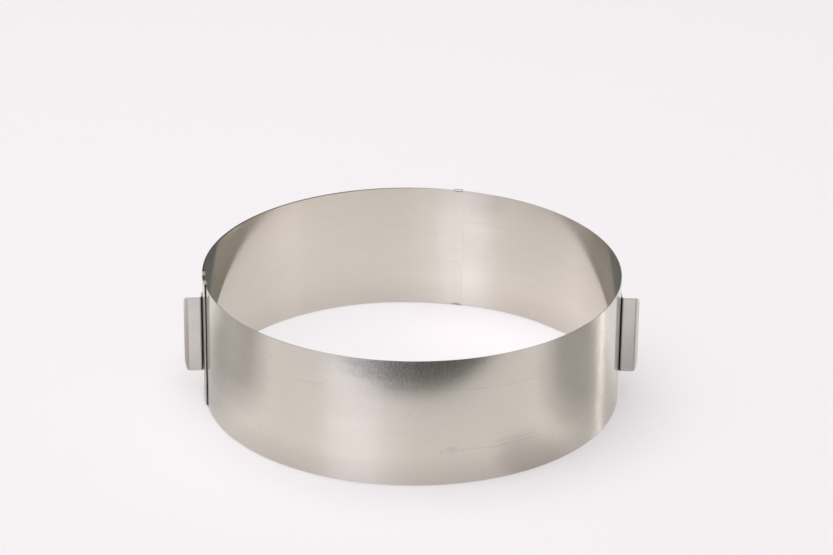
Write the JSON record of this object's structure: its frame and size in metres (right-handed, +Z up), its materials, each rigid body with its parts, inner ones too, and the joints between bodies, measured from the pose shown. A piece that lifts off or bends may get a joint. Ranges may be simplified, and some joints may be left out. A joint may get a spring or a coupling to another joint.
{
  "type": "adjustable cake ring",
  "caption": "Open round cake ring of thin steel strip that overlaps itself; its ends slide past each other between grips on opposite sides, so that the ring grows or shrinks.",
  "frame": {"origin": "on the table under the middle of the ring, as it is set in the picture", "axes": "+Z up; +X to the right grip; -Y to the viewer in the picture"},
  "size_m": [0.294, 0.2688, 0.086],
  "materials": {
    "strip_steel": "satin",
    "grip_steel": "satin"
  },
  "bodies": {
    "strip_09": {"strip_09": "strip_steel"},
    "outer_end": {"strip_outer_end": "strip_steel", "grip_left": "grip_steel"},
    "strip_02": {"strip_02": "strip_steel"},
    "strip_03": {"strip_03": "strip_steel"},
    "strip_04": {"strip_04": "strip_steel"},
    "strip_05": {"strip_05": "strip_steel"},
    "strip_06": {"strip_06": "strip_steel"},
    "strip_07": {"strip_07": "strip_steel"},
    "strip_08": {"strip_08": "strip_steel"},
    "strip_10": {"strip_10": "strip_steel"},
    "strip_11": {"strip_11": "strip_steel"},
    "strip_12": {"strip_12": "strip_steel"},
    "strip_13": {"strip_13": "strip_steel"},
    "strip_14": {"strip_14": "strip_steel"},
    "strip_15": {"strip_15": "strip_steel"},
    "strip_16": {"strip_16": "strip_steel", "grip_right": "grip_steel"},
    "strip_17": {"strip_17": "strip_steel"},
    "strip_18": {"strip_18": "strip_steel"},
    "strip_19": {"strip_19": "strip_steel"},
    "strip_20": {"strip_20": "strip_steel"},
    "strip_21": {"strip_21": "strip_steel"},
    "strip_22": {"strip_22": "strip_steel"},
    "strip_23": {"strip_23": "strip_steel"},
    "strip_24": {"strip_24": "strip_steel"},
    "strip_25": {"strip_25": "strip_steel"},
    "strip_26": {"strip_26": "strip_steel"},
    "strip_27": {"strip_27": "strip_steel"},
    "strip_28": {"strip_28": "strip_steel"},
    "strip_29": {"strip_29": "strip_steel"},
    "strip_30": {"strip_30": "strip_steel"},
    "strip_31": {"strip_31": "strip_steel"},
    "strip_32": {"strip_32": "strip_steel"},
    "strip_33": {"strip_33": "strip_steel"},
    "strip_34": {"strip_34": "strip_steel"},
    "strip_35": {"strip_35": "strip_steel"},
    "strip_36": {"strip_36": "strip_steel"},
    "strip_37": {"strip_37": "strip_steel"},
    "strip_38": {"strip_38": "strip_steel"},
    "inner_end": {"strip_inner_end": "strip_steel"}
  },
  "joints": [
    {"name": "ring_size", "type": "hinge", "parent": "strip_09", "child": "strip_10", "pos_m": [0.01838, 0.13316, 0.04301], "axis": [0, 0, -1], "range_deg": [-1.28, 5.96]},
    {"name": "flex_11", "type": "hinge", "parent": "strip_10", "child": "strip_11", "pos_m": [0.04607, 0.12625, 0.04301], "axis": [0, 0, -1], "range_deg": [-1.43, 6.12]},
    {"name": "flex_12", "type": "hinge", "parent": "strip_11", "child": "strip_12", "pos_m": [0.07167, 0.11365, 0.04301], "axis": [0, 0, -1], "range_deg": [-1.43, 6.12]},
    {"name": "flex_13", "type": "hinge", "parent": "strip_12", "child": "strip_13", "pos_m": [0.09404, 0.09593, 0.04301], "axis": [0, 0, -1], "range_deg": [-1.44, 6.13]},
    {"name": "flex_14", "type": "hinge", "parent": "strip_13", "child": "strip_14", "pos_m": [0.11215, 0.07388, 0.04301], "axis": [0, 0, -1], "range_deg": [-1.44, 6.14]},
    {"name": "flex_15", "type": "hinge", "parent": "strip_14", "child": "strip_15", "pos_m": [0.12521, 0.04851, 0.04301], "axis": [0, 0, -1], "range_deg": [-1.44, 6.14]},
    {"name": "flex_16", "type": "hinge", "parent": "strip_15", "child": "strip_16", "pos_m": [0.1326, 0.02095, 0.04301], "axis": [0, 0, -1], "range_deg": [-1.44, 6.15]},
    {"name": "flex_17", "type": "hinge", "parent": "strip_16", "child": "strip_17", "pos_m": [0.134, -0.00755, 0.04301], "axis": [0, 0, -1], "range_deg": [-1.44, 6.16]},
    {"name": "flex_18", "type": "hinge", "parent": "strip_17", "child": "strip_18", "pos_m": [0.12934, -0.03571, 0.04301], "axis": [0, 0, -1], "range_deg": [-1.44, 6.16]},
    {"name": "flex_19", "type": "hinge", "parent": "strip_18", "child": "strip_19", "pos_m": [0.11884, -0.06224, 0.04301], "axis": [0, 0, -1], "range_deg": [-1.44, 6.17]},
    {"name": "flex_20", "type": "hinge", "parent": "strip_19", "child": "strip_20", "pos_m": [0.10296, -0.08595, 0.04301], "axis": [0, 0, -1], "range_deg": [-1.45, 6.18]},
    {"name": "flex_21", "type": "hinge", "parent": "strip_20", "child": "strip_21", "pos_m": [0.08243, -0.10576, 0.04301], "axis": [0, 0, -1], "range_deg": [-1.45, 6.18]},
    {"name": "flex_22", "type": "hinge", "parent": "strip_21", "child": "strip_22", "pos_m": [0.05816, -0.12079, 0.04301], "axis": [0, 0, -1], "range_deg": [-1.45, 6.19]},
    {"name": "flex_23", "type": "hinge", "parent": "strip_22", "child": "strip_23", "pos_m": [0.03127, -0.13033, 0.04301], "axis": [0, 0, -1], "range_deg": [-1.45, 6.2]},
    {"name": "flex_24", "type": "hinge", "parent": "strip_23", "child": "strip_24", "pos_m": [0.00297, -0.13397, 0.04301], "axis": [0, 0, -1], "range_deg": [-1.45, 6.21]},
    {"name": "flex_25", "type": "hinge", "parent": "strip_24", "child": "strip_25", "pos_m": [-0.02546, -0.13153, 0.04301], "axis": [0, 0, -1], "range_deg": [-1.45, 6.21]},
    {"name": "flex_26", "type": "hinge", "parent": "strip_25", "child": "strip_26", "pos_m": [-0.05273, -0.12312, 0.04301], "axis": [0, 0, -1], "range_deg": [-1.46, 6.22]},
    {"name": "flex_27", "type": "hinge", "parent": "strip_26", "child": "strip_27", "pos_m": [-0.0776, -0.10913, 0.04301], "axis": [0, 0, -1], "range_deg": [-1.46, 6.23]},
    {"name": "flex_28", "type": "hinge", "parent": "strip_27", "child": "strip_28", "pos_m": [-0.09894, -0.09019, 0.04301], "axis": [0, 0, -1], "range_deg": [-1.46, 6.23]},
    {"name": "flex_29", "type": "hinge", "parent": "strip_28", "child": "strip_29", "pos_m": [-0.11578, -0.06715, 0.04301], "axis": [0, 0, -1], "range_deg": [-1.46, 6.24]},
    {"name": "flex_30", "type": "hinge", "parent": "strip_29", "child": "strip_30", "pos_m": [-0.12736, -0.04107, 0.04301], "axis": [0, 0, -1], "range_deg": [-1.46, 6.25]},
    {"name": "flex_31", "type": "hinge", "parent": "strip_30", "child": "strip_31", "pos_m": [-0.13314, -0.01312, 0.04301], "axis": [0, 0, -1], "range_deg": [-1.46, 6.25]},
    {"name": "flex_32", "type": "hinge", "parent": "strip_31", "child": "strip_32", "pos_m": [-0.13286, 0.01541, 0.04301], "axis": [0, 0, -1], "range_deg": [-1.46, 6.26]},
    {"name": "flex_33", "type": "hinge", "parent": "strip_32", "child": "strip_33", "pos_m": [-0.12654, 0.04324, 0.04301], "axis": [0, 0, -1], "range_deg": [-1.47, 6.27]},
    {"name": "flex_34", "type": "hinge", "parent": "strip_33", "child": "strip_34", "pos_m": [-0.11446, 0.06909, 0.04301], "axis": [0, 0, -1], "range_deg": [-1.47, 6.28]},
    {"name": "flex_35", "type": "hinge", "parent": "strip_34", "child": "strip_35", "pos_m": [-0.09717, 0.09179, 0.04301], "axis": [0, 0, -1], "range_deg": [-1.47, 6.28]},
    {"name": "flex_36", "type": "hinge", "parent": "strip_35", "child": "strip_36", "pos_m": [-0.07545, 0.1103, 0.04301], "axis": [0, 0, -1], "range_deg": [-1.47, 6.29]},
    {"name": "flex_37", "type": "hinge", "parent": "strip_36", "child": "strip_37", "pos_m": [-0.0503, 0.12377, 0.04301], "axis": [0, 0, -1], "range_deg": [-1.47, 6.3]},
    {"name": "flex_38", "type": "hinge", "parent": "strip_37", "child": "strip_38", "pos_m": [-0.02286, 0.1316, 0.04301], "axis": [0, 0, -1], "range_deg": [-1.47, 6.31]},
    {"name": "flex_inner_end", "type": "hinge", "parent": "strip_38", "child": "inner_end", "pos_m": [0.00562, 0.13342, 0.04301], "axis": [0, 0, -1], "range_deg": [-1.48, 6.31]},
    {"name": "flex_08", "type": "hinge", "parent": "strip_09", "child": "strip_08", "pos_m": [-0.01014, 0.13407, 0.04301], "axis": [0, 0, 1], "range_deg": [-1.43, 6.1]},
    {"name": "flex_07", "type": "hinge", "parent": "strip_08", "child": "strip_07", "pos_m": [-0.03821, 0.12894, 0.04301], "axis": [0, 0, 1], "range_deg": [-1.43, 6.09]},
    {"name": "flex_06", "type": "hinge", "parent": "strip_07", "child": "strip_06", "pos_m": [-0.06457, 0.11801, 0.04301], "axis": [0, 0, 1], "range_deg": [-1.43, 6.09]},
    {"name": "flex_05", "type": "hinge", "parent": "strip_06", "child": "strip_05", "pos_m": [-0.08803, 0.10176, 0.04301], "axis": [0, 0, 1], "range_deg": [-1.43, 6.08]},
    {"name": "flex_04", "type": "hinge", "parent": "strip_05", "child": "strip_04", "pos_m": [-0.10753, 0.08093, 0.04301], "axis": [0, 0, 1], "range_deg": [-1.42, 6.07]},
    {"name": "flex_03", "type": "hinge", "parent": "strip_04", "child": "strip_03", "pos_m": [-0.1222, 0.05645, 0.04301], "axis": [0, 0, 1], "range_deg": [-1.42, 6.07]},
    {"name": "flex_02", "type": "hinge", "parent": "strip_03", "child": "strip_02", "pos_m": [-0.13138, 0.02943, 0.04301], "axis": [0, 0, 1], "range_deg": [-1.42, 6.06]},
    {"name": "flex_outer_end", "type": "hinge", "parent": "strip_02", "child": "outer_end", "pos_m": [-0.13467, 0.00109, 0.04301], "axis": [0, 0, 1], "range_deg": [-1.42, 6.05]}
  ],
  "couplings": [
    {"joint": "flex_11", "follows": "ring_size", "ratio": 1.0011},
    {"joint": "flex_12", "follows": "ring_size", "ratio": 1.0023},
    {"joint": "flex_13", "follows": "ring_size", "ratio": 1.0035},
    {"joint": "flex_14", "follows": "ring_size", "ratio": 1.0046},
    {"joint": "flex_15", "follows": "ring_size", "ratio": 1.0058},
    {"joint": "flex_16", "follows": "ring_size", "ratio": 1.007},
    {"joint": "flex_17", "follows": "ring_size", "ratio": 1.0081},
    {"joint": "flex_18", "follows": "ring_size", "ratio": 1.0093},
    {"joint": "flex_19", "follows": "ring_size", "ratio": 1.0105},
    {"joint": "flex_20", "follows": "ring_size", "ratio": 1.0116},
    {"joint": "flex_21", "follows": "ring_size", "ratio": 1.0128},
    {"joint": "flex_22", "follows": "ring_size", "ratio": 1.014},
    {"joint": "flex_23", "follows": "ring_size", "ratio": 1.0152},
    {"joint": "flex_24", "follows": "ring_size", "ratio": 1.0163},
    {"joint": "flex_25", "follows": "ring_size", "ratio": 1.0175},
    {"joint": "flex_26", "follows": "ring_size", "ratio": 1.0187},
    {"joint": "flex_27", "follows": "ring_size", "ratio": 1.0199},
    {"joint": "flex_28", "follows": "ring_size", "ratio": 1.0211},
    {"joint": "flex_29", "follows": "ring_size", "ratio": 1.0223},
    {"joint": "flex_30", "follows": "ring_size", "ratio": 1.0235},
    {"joint": "flex_31", "follows": "ring_size", "ratio": 1.0247},
    {"joint": "flex_32", "follows": "ring_size", "ratio": 1.0259},
    {"joint": "flex_33", "follows": "ring_size", "ratio": 1.0271},
    {"joint": "flex_34", "follows": "ring_size", "ratio": 1.0283},
    {"joint": "flex_35", "follows": "ring_size", "ratio": 1.0295},
    {"joint": "flex_36", "follows": "ring_size", "ratio": 1.0307},
    {"joint": "flex_37", "follows": "ring_size", "ratio": 1.0319},
    {"joint": "flex_38", "follows": "ring_size", "ratio": 1.0332},
    {"joint": "flex_inner_end", "follows": "ring_size", "ratio": 1.0344},
    {"joint": "flex_08", "follows": "ring_size", "ratio": 0.99885},
    {"joint": "flex_07", "follows": "ring_size", "ratio": 0.9977},
    {"joint": "flex_06", "follows": "ring_size", "ratio": 0.99656},
    {"joint": "flex_05", "follows": "ring_size", "ratio": 0.99541},
    {"joint": "flex_04", "follows": "ring_size", "ratio": 0.99427},
    {"joint": "flex_03", "follows": "ring_size", "ratio": 0.99313},
    {"joint": "flex_02", "follows": "ring_size", "ratio": 0.99199},
    {"joint": "flex_outer_end", "follows": "ring_size", "ratio": 0.99086}
  ]
}
